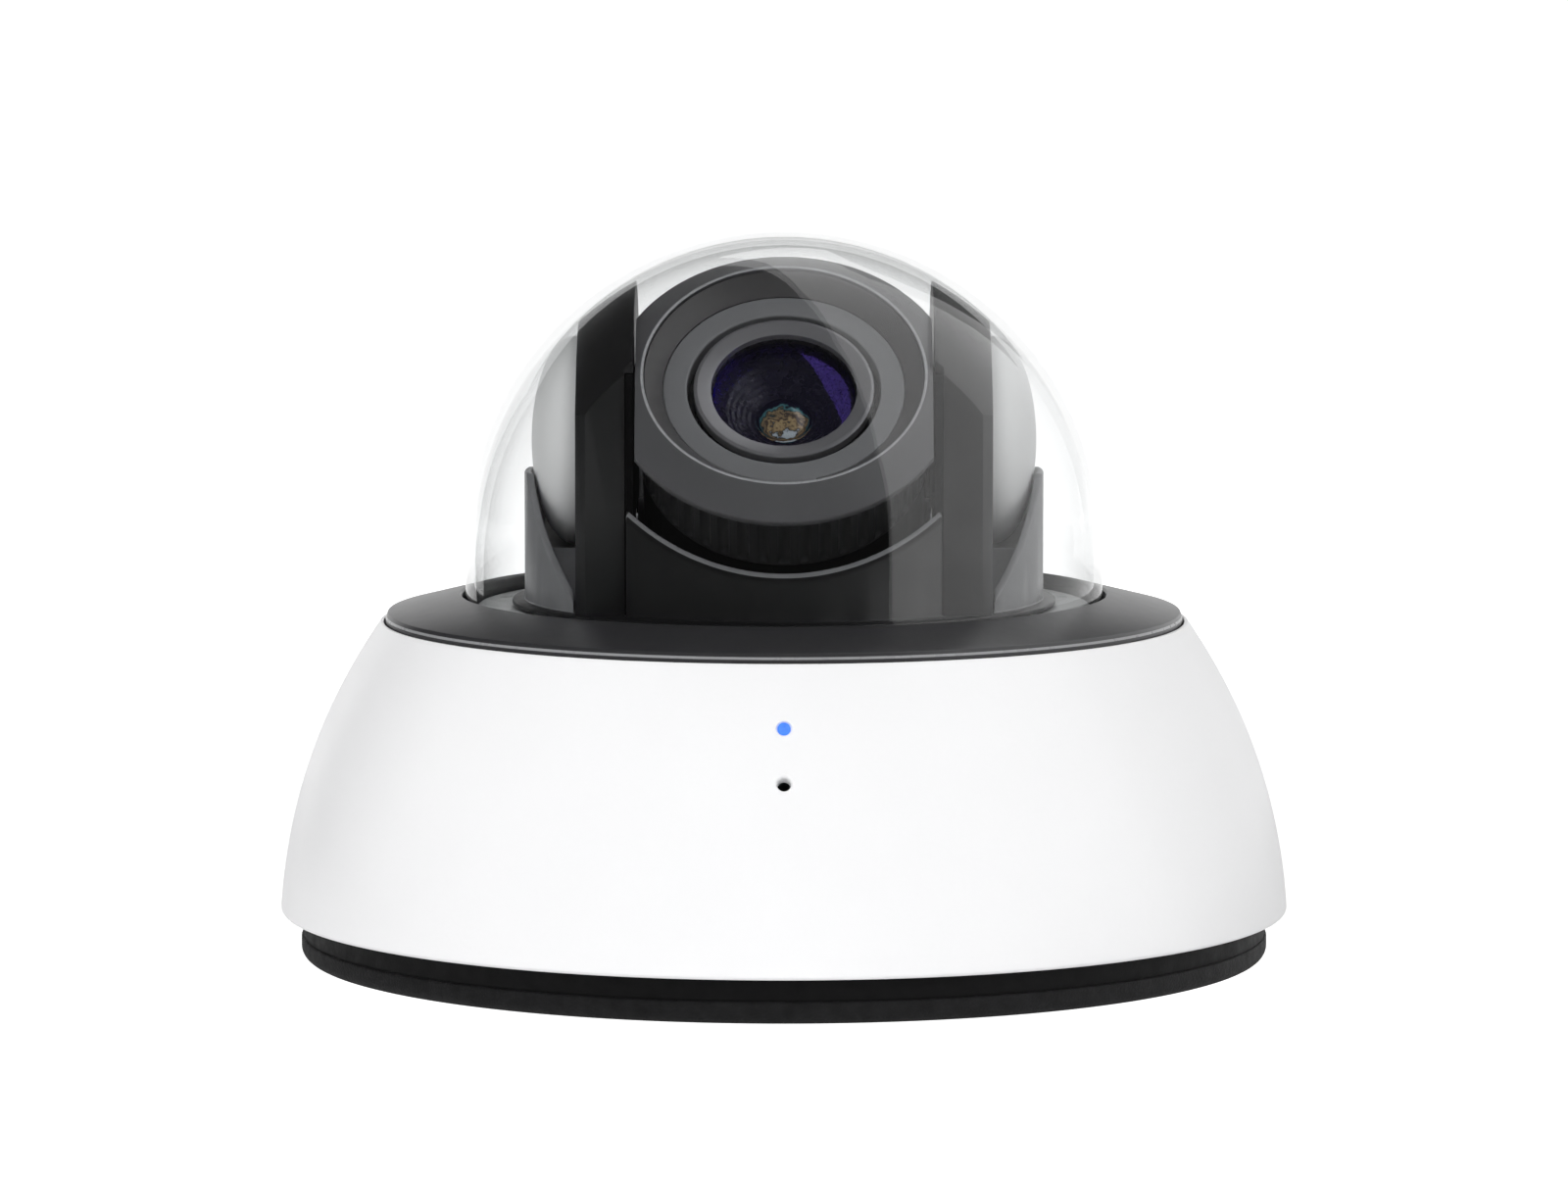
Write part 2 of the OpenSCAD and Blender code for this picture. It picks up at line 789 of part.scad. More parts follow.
// ---- Tilt: housing, shroud and infrared ring ----
module tilt_housing() {
    color("#2a2a2c") lens_frame() difference() {
        union() {
            disc(housing_r, housing_back, knurl_back - 0.2);
            for (side = [-1, 1]) {
                translate([side * 12, 0, 0]) rotate([0, side * 90, 0]) disc(tilt_pin_r + 2, 0, flat_x - 12);
            }
            intersection() {
                union() {
                    ring(arch_in, arch_out, 8, skirt_s);
                    ring(journal_r + 1, arch_out, 8, 13);
                }
                translate([-flat_x, arch_floor, 0]) cube([2 * flat_x, big, big]);
            }
        }
        disc(journal_r + run_gap, carrier_back - gap, knurl_back + cut);
        disc(journal_r - 1.5, housing_back + 2, carrier_back);
        for (side = [-1, 1]) {
            rotate([0, side * 90, 0]) disc(tilt_pin_r, 0, big);
        }
        for (side = [-1, 1]) {
            translate([side * 13.5, 17, 0]) disc(0.85, 7, skirt_s + cut);
            translate([side * 13.5, 17, 0]) disc(1.7, 7, 20);
        }
    }
}

module tilt_pin() {
    translate([15.6, 0, tilt_z]) rotate([0, 90, 0]) {
        ring(hub_hole_r - 1.2, tilt_pin_r, 0, pin_end - 15.6 - 0.2);
    }
}

module tilt_pins() {
    color("#a9acb0") {
        tilt_pin();
        mirror([1, 0, 0]) tilt_pin();
    }
}

module shroud() {
    color("#333335") lens_frame() difference() {
        intersection() {
            union() {
                rotate_extrude() polygon([
                    [lip_r - 0.3, front_s],
                    [lip_r, front_s],
                    [shroud_r, cone_s],
                    [shroud_r, cone_s - 1.2],
                    [skirt_r, cone_s + 1],
                    [skirt_r, skirt_s],
                    [lip_r - 0.3, skirt_s]
                ]);
                intersection() {
                    ring(skirt_r - 0.2, arch_out, skirt_s, cone_s - 0.6);
                    translate([-big / 2, arch_floor, 0]) cube(big);
                }
            }
            block(2 * flat_x, big, 0, big);
        }
        for (side = [-1, 1]) {
            translate([side * 13.5, 17, 0]) disc(0.75, skirt_s - cut, skirt_s + 1.9);
        }
    }
}

module shroud_screws() {
    color("silver") lens_frame() for (side = [-1, 1]) {
        translate([side * 13.5, 17, 18.8]) rotate([180, 0, 0]) screw(1.6, 1.2, 0.75, skirt_s + 1.8 - 18.8);
    }
}

tab_w = 8.7;
tab_r = window_in + 0.9;
module ir_window() {
    color([0.1, 0.08, 0.08, 0.9]) lens_frame() difference() {
        rotate_extrude() polygon([
            [lip_r - 0.35, window_s],
            [window_in, face_s],
            [window_in, face_s - 1.2],
            [lip_r - 0.35, window_s - 1.2]
        ]);
        translate([-tab_w / 2 - 0.1, -tab_r - 0.1, face_s - 2]) cube([tab_w + 0.2, 4, 6]);
    }
}

module ir_board() {
    color("#1f5a3a") lens_frame() ring(face_in + 0.9, lip_r - 0.4, skirt_s, skirt_s + 1);
}

module ir_leds() {
    color("#e7e2cf") lens_frame() around([22.5:45:337.5], window_in + 1.5) {
        block(1.5, 1.5, skirt_s + 1, skirt_s + 1.6);
    }
}

module face_ring() {
    color("#6d6e70") lens_frame() {
        ring(face_in, window_in - 0.05, face_s - 1, face_s);
        ring(face_in, face_in + 0.85, skirt_s - 1.4, face_s - 0.5);
        translate([-tab_w / 2, -tab_r, face_s - 1]) cube([tab_w, 1.6, 1]);
    }
}

module light_seal() {
    color("#151515") lens_frame() ring(barrel_r + 0.35, face_in, skirt_s - 1.2, skirt_s);
}

module tilt_harness() {
    color("#2f3136") lens_frame() {
        translate([bend_r, 0, 0]) rotate([0, 90, 0]) disc(harness_r, 0, liner_in - bend_r);
        translate([0, 0, bend_r]) mirror([0, 0, 1]) bend(bend_r);
    }
}

// ---- Roll: the part that the knurled ring turns about the lens axis ----
module lens_carrier() {
    color("#3d3f42") lens_frame() difference() {
        disc(journal_r, carrier_back, carrier_front);
        disc(carrier_in, carrier_back - cut, carrier_front + cut);
    }
}

module knurled_ring() {
    color("#1c1c1d") lens_frame() difference() {
        disc(knurl_r, knurl_back, knurl_front);
        disc(journal_r, knurl_back - cut, carrier_front);
        disc(journal_r - 1.8, carrier_front - cut, knurl_front + cut);
        around([0:360 / rib_count:359], knurl_r + 0.55) disc(1, knurl_back + 0.8, knurl_front - 0.8);
    }
}

module lens_barrel() {
    color("#141415") lens_frame() difference() {
        union() {
            disc(barrel_r, barrel_back, bezel_s - 1.4);
            disc(carrier_in, carrier_front - 3, carrier_front);
        }
        disc(5.5, barrel_back - cut, iris_s);
        disc(iris_r, iris_s - cut, bezel_s);
        disc(glass_r + 0.1, pocket_s, bezel_s);
        translate([0, 0, cone_back]) cylinder(r1 = iris_r, r2 = 8.25, h = pocket_s + 0.2 - cone_back);
    }
}

module lens_bezel() {
    color("#636466") lens_frame() ring(glass_r + 0.2, barrel_r + 0.3, bezel_s - 1.4, bezel_s);
}

// Glass with a shallow convex front
module front_lens() {
    bow = 1.4;
    bow_r = (glass_r * glass_r + bow * bow) / (2 * bow);
    color([0.35, 0.3, 0.6, 0.5]) lens_frame() intersection() {
        disc(glass_r, bezel_s - 4.4, bezel_s);
        translate([0, 0, bezel_s - 0.6 - bow_r]) sphere(r = bow_r, $fn = 180);
    }
}

module rear_lens() {
    color([0.8, 0.8, 0.6, 0.5]) lens_frame() {
        disc(iris_r - run_gap, iris_s + 0.2, cone_back + 0.2);
        translate([0, 0, cone_back + 0.2]) cylinder(r1 = iris_r - 0.2, r2 = 1.6, h = 1.4);
        disc(5.45, barrel_back + 0.4, barrel_back + 2);
    }
}

// Round board with the image sensor, and the frame that the filter runs in
module sensor_board() {
    color("#1f5a3a") lens_frame() {
        disc(carrier_in, sensor_s, sensor_s + sensor_t);
        block(11, 9, sensor_s + sensor_t - 0.1, filter_s - 0.5);
        disc(harness_r, bend_r, sensor_s + 0.1);
        difference() {
            block(27, 13, sensor_s + sensor_t - 0.1, barrel_back);
            block(24, 10.2, sensor_s + sensor_t - 1, filter_s + filter_t - 0.6);
            block(9, 8, filter_s, barrel_back + cut);
        }
    }
}

// Infrared-cut glass that slides across the sensor
filter_x = -3.7;
module filter_slide() {
    color([0.45, 0.75, 0.7, 0.7]) lens_frame() translate([filter_x, 0, 0]) {
        block(15, 9.8, filter_s + 0.4, filter_s + 1.6);
    }
}

base_gasket();
base_tray();
cable_grommet();
board_standoffs();
main_board();
board_screws();
ethernet_jack();
processor();
thermal_pad();
memory_slot();
memory_card();
board_parts();
reset_switch();
reset_button();
harness_plug();
base_harness();
chassis();
chassis_screws();
pan_bush();
front_board();
status_led();
light_pipe();
microphone();
mic_boot();
outer_cover();
cover_screws();
trim_ring();
trim_screws();
bubble();
bubble_seal();
bubble_retainer();
retainer_screws();
pan_frame();
arm_left();
arm_right();
arm_liners();
side_cap_left();
side_cap_right();
arm_screws();
tilt_bushes();
pan_lock_nut();
pan_harness();
tilt_housing();
tilt_pins();
shroud();
shroud_screws();
ir_window();
ir_board();
ir_leds();
face_ring();
light_seal();
tilt_harness();
lens_carrier();
knurled_ring();
lens_barrel();
lens_bezel();
front_lens();
rear_lens();
sensor_board();
filter_slide();
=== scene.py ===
import bmesh
import bpy
import math
import numpy as np
from mathutils import Matrix, Vector


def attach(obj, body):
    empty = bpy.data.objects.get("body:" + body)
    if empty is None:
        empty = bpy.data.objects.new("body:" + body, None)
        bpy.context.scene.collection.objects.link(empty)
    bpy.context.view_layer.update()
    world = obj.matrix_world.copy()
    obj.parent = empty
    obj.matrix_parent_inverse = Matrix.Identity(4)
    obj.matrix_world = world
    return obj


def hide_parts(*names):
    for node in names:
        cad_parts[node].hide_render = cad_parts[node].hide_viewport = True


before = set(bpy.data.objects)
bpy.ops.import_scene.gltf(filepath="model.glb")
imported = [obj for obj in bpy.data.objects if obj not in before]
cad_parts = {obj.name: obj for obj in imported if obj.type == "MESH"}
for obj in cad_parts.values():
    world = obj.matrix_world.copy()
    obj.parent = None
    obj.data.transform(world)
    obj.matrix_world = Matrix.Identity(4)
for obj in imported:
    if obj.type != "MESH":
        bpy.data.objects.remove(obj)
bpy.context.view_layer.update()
scene = bpy.context.scene
MM = 0.001

# Driving sizes in mm, the same as the frame's. Heights are above the floor; S is measured along the
# lens axis from the tilt axis.
COVER_R, COVER_Z0, COVER_TOP, CROWN_R, TOP_R = 70.05, 6.3, 46.6, 76.85, 56.02
COVER_WALL = 2.2
SCREW_R, SCREW_ANGLES = 61.0, (15, 100, 165)
LEDGE_Z, LEDGE_BOTTOM = 45.4, 43.8
LIGHT_Z, MIC_Z, PIN_R = 38.7, 31.7, 0.9
TRIM_R, TRIM_TOP = 55.32, 50.4
BUBBLE_R, BUBBLE_WALL, BUBBLE_Z, FLANGE_Z = 44.23, 1.2, 56.26, 45.0
GASKET_IN, GASKET_R, GASKET_H = 58.2, 67.2, 3.1
CAP_R, CAP_X, CAP_Z, CAP_EDGE, CAP_CROWN = 14.4, 28.4, 71.6, 0.6, 6.0
WALL_R = 33.4
TILT_Z = 57.0
FRONT_S, BEZEL_S = 36.5, 33.6
LIP_R, HOOD_R, HOOD_HALF = 19.1, 23.7, 20.2
GLASS_R, IRIS_R, BARREL_R = 9.7, 3.9, 12.0
KNURL_R, TEETH = 19.7, 44
LENS = Matrix.Translation((0, 0, TILT_Z)) @ Matrix.Rotation(math.radians(45), 4, "X")


# ---- Materials ----
def linear(v):
    """8-bit screen grey or colour as a linear colour."""
    if isinstance(v, (int, float)):
        v = (v, v, v)
    out = [c / 255 for c in v]
    return [c / 12.92 if c <= 0.04045 else ((c + 0.055) / 1.055) ** 2.4 for c in out] + [1.0]


def noise(nt, where, scale, detail=3.0, rough=0.55):
    n = nt.nodes.new("ShaderNodeTexNoise")
    n.inputs["Scale"].default_value = scale
    n.inputs["Detail"].default_value = detail
    n.inputs["Roughness"].default_value = rough
    nt.links.new(where, n.inputs["Vector"])
    return n


def material(name, colour, rough=0.5, metal=0.0, spread=0.06, size=6.0, grain=0.35, depth=0.012,
             rough_spread=0.06, **sockets):
    """Procedural finish. colour: mean; spread: colour change either way over patches of size mm;
    grain: width of the surface grain in mm and depth its height."""
    m = bpy.data.materials.new(name)
    m.use_nodes = True
    nt = m.node_tree
    bsdf = nt.nodes["Principled BSDF"]
    where = nt.nodes.new("ShaderNodeTexCoord").outputs["Object"]
    patch = noise(nt, where, 1000 / size)
    ramp = nt.nodes.new("ShaderNodeValToRGB")
    nt.links.new(patch.outputs["Fac"], ramp.inputs["Fac"])
    base = linear(colour)
    for stop, k, at in ((0, 1 - spread, 0.3), (1, 1 + spread, 0.7)):
        ramp.color_ramp.elements[stop].position = at
        ramp.color_ramp.elements[stop].color = [min(1, c * k) for c in base[:3]] + [1]
    nt.links.new(ramp.outputs["Color"], bsdf.inputs["Base Color"])
    if rough_spread:
        fine = noise(nt, where, 1000 / (grain * 6))
        span = nt.nodes.new("ShaderNodeMapRange")
        span.inputs["From Min"].default_value = 0.3
        span.inputs["From Max"].default_value = 0.7
        span.inputs["To Min"].default_value = max(0.02, rough - rough_spread)
        span.inputs["To Max"].default_value = min(1, rough + rough_spread)
        nt.links.new(fine.outputs["Fac"], span.inputs["Value"])
        nt.links.new(span.outputs["Result"], bsdf.inputs["Roughness"])
    else:
        bsdf.inputs["Roughness"].default_value = rough
    if depth:
        grit = noise(nt, where, 1000 / grain, detail=2.0)
        bump = nt.nodes.new("ShaderNodeBump")
        bump.inputs["Strength"].default_value = 1.0
        bump.inputs["Distance"].default_value = depth * MM
        nt.links.new(grit.outputs["Fac"], bump.inputs["Height"])
        nt.links.new(bump.outputs["Normal"], bsdf.inputs["Normal"])
    bsdf.inputs["Metallic"].default_value = metal
    for key, value in sockets.items():
        bsdf.inputs[key.replace("_", " ")].default_value = value
    return m


def glass(name, tint, edge, reflect, ior=1.5, coat=(1, 1, 1, 1), rough=0.0):
    """Thin clear wall: light goes straight through, tinted; edge is a darker see-through colour where it is
    seen edge on, painted shade for the light lost at the outline, and reflect scales the mirror share."""
    m = bpy.data.materials.new(name)
    m.use_nodes = True
    nt = m.node_tree
    nt.nodes.clear()
    out = nt.nodes.new("ShaderNodeOutputMaterial")
    through = nt.nodes.new("ShaderNodeBsdfTransparent")
    shine = nt.nodes.new("ShaderNodeBsdfGlossy")
    shine.inputs["Color"].default_value = coat
    shine.inputs["Roughness"].default_value = rough
    facing = nt.nodes.new("ShaderNodeLayerWeight")
    facing.inputs["Blend"].default_value = 0.5
    power = nt.nodes.new("ShaderNodeMath")
    power.operation = "POWER"
    power.inputs[1].default_value = 5.0
    nt.links.new(facing.outputs["Facing"], power.inputs[0])
    least = ((ior - 1) / (ior + 1)) ** 2
    schlick = nt.nodes.new("ShaderNodeMath")
    schlick.operation = "MULTIPLY_ADD"
    schlick.inputs[1].default_value = 1 - least
    schlick.inputs[2].default_value = least
    nt.links.new(power.outputs["Value"], schlick.inputs[0])
    # Painted shade: the see-through colour darkens from tint to edge as the wall turns edge on
    rim = nt.nodes.new("ShaderNodeValToRGB")
    rim.color_ramp.elements[0].position, rim.color_ramp.elements[0].color = 0.4, tint
    rim.color_ramp.elements[1].position, rim.color_ramp.elements[1].color = 0.97, edge
    nt.links.new(facing.outputs["Facing"], rim.inputs["Fac"])
    nt.links.new(rim.outputs["Color"], through.inputs["Color"])
    gain = nt.nodes.new("ShaderNodeMath")
    gain.operation = "MULTIPLY"
    gain.use_clamp = True
    gain.inputs[1].default_value = reflect
    nt.links.new(schlick.outputs["Value"], gain.inputs[0])
    mix = nt.nodes.new("ShaderNodeMixShader")
    nt.links.new(gain.outputs["Value"], mix.inputs["Fac"])
    nt.links.new(through.outputs["BSDF"], mix.inputs[1])
    nt.links.new(shine.outputs["BSDF"], mix.inputs[2])
    nt.links.new(mix.outputs["Shader"], out.inputs["Surface"])
    return m


M = {
    "white_shell": material("white_shell", (251, 251, 252), 0.38, spread=0.008, size=20, grain=0.8,
                            depth=0.03,
                            rough_spread=0.05, Coat_Weight=0.15, Coat_Roughness=0.25),
    "gasket_rubber": material("gasket_rubber", (20, 20, 21), 0.7, spread=0.3, size=2, grain=0.35, depth=0.1,
                              Specular_IOR_Level=0.25),
    "trim_dark": material("trim_dark", (46, 46, 48), 0.34, spread=0.015, size=30, grain=0.3, depth=0.003,
                          rough_spread=0.01),
    "black_plastic": material("black_plastic", (10, 10, 11), 0.6, grain=0.4, depth=0.02,
                              Specular_IOR_Level=0.15),
    "frame_black": material("frame_black", (18, 18, 19), 0.45, spread=0.03, grain=0.25, depth=0.002,
                            rough_spread=0.02),
    "housing_black": material("housing_black", (14, 14, 15), 0.5, spread=0.05, grain=0.25, depth=0.002,
                              rough_spread=0.02),
    "cap_grey": material("cap_grey", (224, 225, 225), 0.45, spread=0.01, grain=0.4, depth=0.005),
    "deck_grey": material("deck_grey", (178, 180, 180), 0.45, spread=0.05, size=4, grain=0.25, depth=0.02),
    "shroud_dark": material("shroud_dark", (72, 72, 74), 0.4, spread=0.02, grain=0.3, depth=0.002,
                            rough_spread=0.02),
    "ring_grey": material("ring_grey", (102, 103, 105), 0.42, spread=0.02, grain=0.2, depth=0.003,
                          rough_spread=0.02),
    "bezel_grey": material("bezel_grey", (118, 118, 121), 0.3, metal=0.5, spread=0.02, grain=0.2,
                           depth=0.002,
                           rough_spread=0.02),
    "knurl_black": material("knurl_black", (54, 54, 55), 0.34, spread=0.05, grain=0.3, depth=0.003),
    "barrel_black": material("barrel_black", (26, 26, 29), 0.28, spread=0.05, grain=0.2, depth=0.002),
    "carrier_metal": material("carrier_metal", (84, 86, 90), 0.4, metal=0.6, grain=0.2, depth=0.01),
    "ir_glass": material("ir_glass", (60, 59, 60), 0.35, spread=0.02, grain=0.25, depth=0.001,
                         rough_spread=0.01),
    # Light grey painted highlight for the rolled rim of the black front wall
    "rim_painted_highlight": material("rim_painted_highlight", (120, 121, 123), 0.35, spread=0.03, grain=0.3, depth=0.006),
    # Lighter grey painted highlight for the outer sides of the black pan frame
    "frame_side_painted_highlight": material("frame_side_painted_highlight", (112, 113, 115), 0.4, spread=0.05, size=8, grain=0.25,
                           depth=0.002, rough_spread=0.02),
    "liner_matt": material("liner_matt", (16, 16, 17), 0.9, spread=0.05, grain=0.3, depth=0.01,
                           Specular_IOR_Level=0.0),
    # Light grey painted highlight for thin edges of darker parts
    "painted_edge_highlight": material("painted_edge_highlight", (146, 147, 149), 0.3, spread=0.03, grain=0.3, depth=0.004),
    "circuit_green": material("circuit_green", (34, 88, 58), 0.45, spread=0.25, size=2.5, grain=0.5,
                              depth=0.02),
    "chip_black": material("chip_black", (38, 38, 41), 0.5, spread=0.08, grain=0.2, depth=0.01),
    "tin_metal": material("tin_metal", (186, 188, 192), 0.32, metal=0.9, spread=0.06, size=3, grain=0.3,
                          depth=0.006),
    "steel_screw": material("steel_screw", (198, 200, 204), 0.28, metal=1.0, spread=0.06, size=2,
                            grain=0.15, depth=0.004),
    "brass": material("brass", (196, 162, 92), 0.3, metal=1.0, spread=0.08, size=2, grain=0.2, depth=0.005),
    "bush_white": material("bush_white", (228, 226, 216), 0.45, spread=0.03, grain=0.3, depth=0.01),
    "thermal_grey": material("thermal_grey", (140, 150, 160), 0.8, spread=0.08, grain=0.4, depth=0.03),
    "harness_black": material("harness_black", (44, 46, 52), 0.5, spread=0.1, grain=0.3, depth=0.02),
    "plug_cream": material("plug_cream", (228, 222, 204), 0.4, spread=0.03, grain=0.3, depth=0.01),
    "button_red": material("button_red", (176, 54, 44), 0.4, spread=0.06, grain=0.3, depth=0.01),
    "seal_rubber": material("seal_rubber", (30, 30, 31), 0.75, spread=0.15, grain=0.3, depth=0.03),
    "led_clear": material("led_clear", (230, 224, 205), 0.2, spread=0.05, grain=0.3, depth=0.004),
    "light_blue": material("light_blue", (50, 96, 200), 0.3, spread=0.3, size=0.9, grain=0.3, depth=0.002,
                           Emission_Color=linear((66, 128, 250)), Emission_Strength=0.75),
}
M["rear_glass"] = material("rear_glass", (90, 90, 80), 0.12, metal=0.2, spread=0.3, size=1.2, grain=3.0,
                           depth=0.0,
                           rough_spread=0.02, Coat_Weight=1.0, Coat_Roughness=0.02)
# Painted glints: the base colour follows how squarely the small glass faces the viewer, bright cyan-white
# face on, then gold and cyan rings, then black at its outline
nt = M["rear_glass"].node_tree
ramp = [n for n in nt.nodes if n.type == "VALTORGB"][0]
patch = [n for n in nt.nodes if n.type == "TEX_NOISE"][0]
facing = nt.nodes.new("ShaderNodeLayerWeight")
glint_fac = nt.nodes.new("ShaderNodeMath")
glint_fac.operation = "MULTIPLY_ADD"
glint_fac.inputs[1].default_value = 0.45
nt.links.new(patch.outputs["Fac"], glint_fac.inputs[0])
nt.links.new(facing.outputs["Facing"], glint_fac.inputs[2])
nt.links.new(glint_fac.outputs["Value"], ramp.inputs["Fac"])
stops = ramp.color_ramp.elements
stops[0].position, stops[0].color = 0.24, (0.75, 0.85, 0.8, 1)
stops[1].position, stops[1].color = 0.85, (0.005, 0.005, 0.006, 1)
painted_glint_tones = {0.28: (0.04, 0.04, 0.03), 0.34: (0.6, 0.44, 0.2), 0.4: (0.05, 0.04, 0.03), 0.45: (0.4, 0.3, 0.14),
         0.5: (0.04, 0.04, 0.03), 0.56: (0.1, 0.3, 0.28), 0.62: (0.01, 0.01, 0.015)}
for at, tone in painted_glint_tones.items():
    stops.new(at).color = (*tone, 1)
# The second colour of each glass is its painted shade where it is seen edge on
M["clear_dome"] = glass("clear_dome", (0.985, 0.987, 0.988, 1), (0.89, 0.895, 0.895, 1), 0.75, ior=1.49)
M["coated_glass"] = glass("coated_glass", (0.92, 0.92, 0.95, 1), (0.8, 0.8, 0.9, 1), 1.6,
                          coat=(0.22, 0.12, 0.9, 1))
M["filter_glass"] = glass("filter_glass", (0.6, 0.85, 0.82, 1), (0.5, 0.7, 0.7, 1), 1.5,
                          coat=(0.7, 1, 0.9, 1), rough=0.02)


# ---- Shapes ----
def rounded(points, steps=5):
    """Closed outline of (x, y, corner radius) with its corners rounded, as (x, y) pairs."""
    out = []
    n = len(points)
    for i in range(n):
        p = Vector(points[i][:2])
        r = points[i][2] if len(points[i]) > 2 else 0
        a, b = Vector(points[i - 1][:2]) - p, Vector(points[(i + 1) % n][:2]) - p
        la, lb = a.length, b.length
        if r <= 0 or la < 1e-9 or lb < 1e-9:
            out.append((p.x, p.y))
            continue
        a.normalize()
        b.normalize()
        half = math.acos(max(-1, min(1, a.dot(b)))) / 2
        if half > math.radians(88):
            out.append((p.x, p.y))
            continue
        t = min(r / math.tan(half), 0.48 * la, 0.48 * lb)
        r = t * math.tan(half)
        centre = p + (a + b).normalized() * (r / math.sin(half))
        start, end = p + a * t - centre, p + b * t - centre
        turn = math.atan2(start.x * end.y - start.y * end.x, start.dot(end))
        for k in range(steps + 1):
            c, s = math.cos(turn * k / steps), math.sin(turn * k / steps)
            out.append((centre.x + start.x * c - start.y * s, centre.y + start.x * s + start.y * c))
    return out


def smooth(ob, angle=32):
    ob.data.shade_smooth()
    ob.data.set_sharp_from_angle(angle=math.radians(angle))


def raw(name, verts, faces):
    """Object from points in mm; doubles merged and normals made to point outwards."""
    me = bpy.data.meshes.new(name)
    me.from_pydata([tuple(float(c) * MM for c in v) for v in verts], [], faces)
    bm = bmesh.new()
    bm.from_mesh(me)
    bmesh.ops.remove_doubles(bm, verts=bm.verts, dist=1e-7)
    bmesh.ops.recalc_face_normals(bm, faces=bm.faces)
    if bm.calc_volume(signed=True) < 0:
        bmesh.ops.reverse_faces(bm, faces=bm.faces)
    bm.to_mesh(me)
    bm.free()
    ob = bpy.data.objects.new(name, me)
    scene.collection.objects.link(ob)
    return ob


def lathe(name, outline, seg=192, at=None):
    """Closed outline of (r, z) turned about Z, then placed by the matrix at."""
    n = len(outline)
    verts = []
    for i in range(seg):
        a = 2 * math.pi * i / seg
        c, s = math.cos(a), math.sin(a)
        verts += [(r * c, r * s, z) for r, z in outline]
    faces = []
    for i in range(seg):
        j = (i + 1) % seg
        for k in range(n):
            q = (k + 1) % n
            if outline[k][0] < 1e-9 and outline[q][0] < 1e-9:
                continue
            faces.append((i * n + k, j * n + k, j * n + q, i * n + q))
    if at is not None:
        verts = [tuple(at @ Vector(v)) for v in verts]
    return raw(name, verts, faces)


def bake(ob):
    """The object's modifiers made into its mesh."""
    bpy.context.view_layer.update()
    made = bpy.data.meshes.new_from_object(ob.evaluated_get(bpy.context.evaluated_depsgraph_get()))
    ob.modifiers.clear()
    ob.data = made


def combine(ob, others, operation="DIFFERENCE"):
    for other in others:
        m = ob.modifiers.new("combine", "BOOLEAN")
        m.operation = operation
        m.solver = "EXACT"
        m.object = other
        bake(ob)
        bpy.data.objects.remove(other)
    return ob


def finish_piece(ob, body, nodes, slot, mat=None, angle=32):
    smooth(ob, angle)
    ob.data.materials.clear()
    ob.data.materials.append(M[mat or slot])
    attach(ob, body)
    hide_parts(*nodes)
    return ob


def dress(node, slot, width=0.18, mat=None, angle=30):
    """A CAD node shown as it is, with its finish and softened edges."""
    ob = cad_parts[node]
    ob.data.materials.clear()
    ob.data.materials.append(M[mat or slot])
    for p in ob.data.polygons:
        p.use_smooth = True
    weld = ob.modifiers.new("weld", "WELD")
    weld.merge_threshold = 2e-6
    if width:
        bev = ob.modifiers.new("edges", "BEVEL")
        bev.limit_method = "ANGLE"
        bev.angle_limit = math.radians(angle)
        bev.width = width * MM
        bev.segments = 2
        bev.harden_normals = True
    return ob


# ---- CAD nodes shown as they are ----
PLAIN = [
    ("base_tray", "black_plastic", 0.25), ("cable_grommet", "seal_rubber", 0.4),
    ("board_standoffs", "brass", 0.12), ("main_board", "circuit_green", 0.1),
    ("board_screws", "steel_screw", 0.15), ("ethernet_jack", "tin_metal", 0.2),
    ("processor", "chip_black", 0.1), ("thermal_pad", "thermal_grey", 0.15),
    ("memory_slot", "tin_metal", 0.1), ("memory_card", "chip_black", 0.08),
    ("board_parts", "chip_black", 0.12), ("reset_switch", "chip_black", 0.12),
    ("reset_button", "button_red", 0.15), ("harness_plug", "plug_cream", 0.2),
    ("base_harness", "harness_black", 0), ("chassis", "deck_grey", 0.2),
    ("chassis_screws", "steel_screw", 0.15), ("pan_bush", "bush_white", 0.15),
    ("front_board", "circuit_green", 0.1), ("status_led", "led_clear", 0.1),
    ("light_pipe", "light_blue", 0.12), ("microphone", "tin_metal", 0.1),
    ("mic_boot", "seal_rubber", 0.1), ("cover_screws", "steel_screw", 0.2),
    ("trim_screws", "steel_screw", 0.1), ("bubble_seal", "seal_rubber", 0.1),
    ("bubble_retainer", "tin_metal", 0.12), ("retainer_screws", "steel_screw", 0.12),
    ("pan_frame", "frame_black", 0.22), ("arm_screws", "steel_screw", 0.12),
    ("arm_left", "frame_black", 0.3), ("arm_right", "frame_black", 0.3),
    ("arm_liners", "frame_black", 0.1, "liner_matt"), ("tilt_bushes", "bush_white", 0.1),
    ("pan_lock_nut", "brass", 0.2), ("pan_harness", "harness_black", 0),
    ("tilt_housing", "frame_black", 0.25, "housing_black"), ("tilt_pins", "steel_screw", 0.15),
    ("shroud_screws", "steel_screw", 0.1), ("ir_board", "circuit_green", 0.1),
    ("ir_leds", "led_clear", 0.08), ("light_seal", "seal_rubber", 0.15),
    ("tilt_harness", "harness_black", 0), ("lens_carrier", "carrier_metal", 0.2),
    ("sensor_board", "circuit_green", 0.1), ("filter_slide", "filter_glass", 0.08),
]
for node, slot, width, *other in PLAIN:
    dress(node, slot, width, *other)


